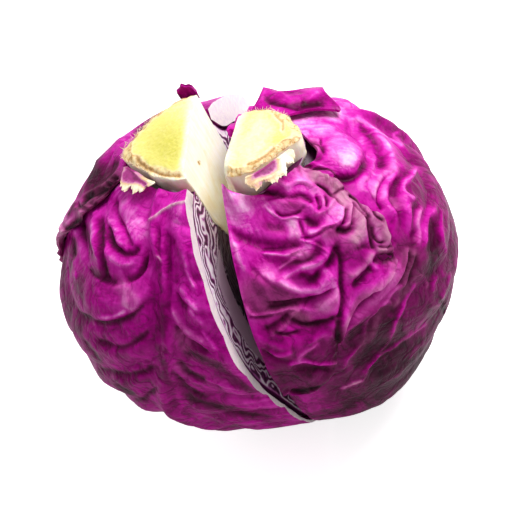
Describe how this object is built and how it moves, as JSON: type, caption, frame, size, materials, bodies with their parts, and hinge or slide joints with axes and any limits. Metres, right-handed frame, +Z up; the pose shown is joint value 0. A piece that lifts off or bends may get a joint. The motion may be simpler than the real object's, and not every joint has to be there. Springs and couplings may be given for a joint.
{
  "type": "halved red cabbage head",
  "caption": "Red cabbage cut lengthwise, both halves standing on their crowns and leaning slightly apart, with sawn stalks, wrapped leaves and packed inner leaves.",
  "frame": {"origin": "on the table, under the middle of the head's box", "axes": "+Z up along the stalk; +X from the left half to the right half across the cut; -Y towards the side that the picture shows"},
  "size_m": [0.1857, 0.1592, 0.167],
  "materials": {
    "leaf": "waxy red-purple leaf skin with pale bloom and dark ribs",
    "packed_leaves": "cut edges of purple and white leaves packed in folds",
    "stalk": "moist yellow-green pith in a cream core with a rough tan rim",
    "torn_base": "cream torn leaf base with purple skin"
  },
  "bodies": {
    "root": {"left_stalk": "stalk", "left_heart": "packed_leaves", "left_front_leaf": "leaf", "left_back_leaf": "leaf", "left_leaf_base": "torn_base", "left_top_leaf": "leaf", "right_stalk": "stalk", "right_heart": "packed_leaves", "right_front_leaf": "leaf", "right_back_leaf": "leaf", "right_leaf_base": "torn_base", "right_top_leaf": "leaf"}
  },
  "joints": []
}
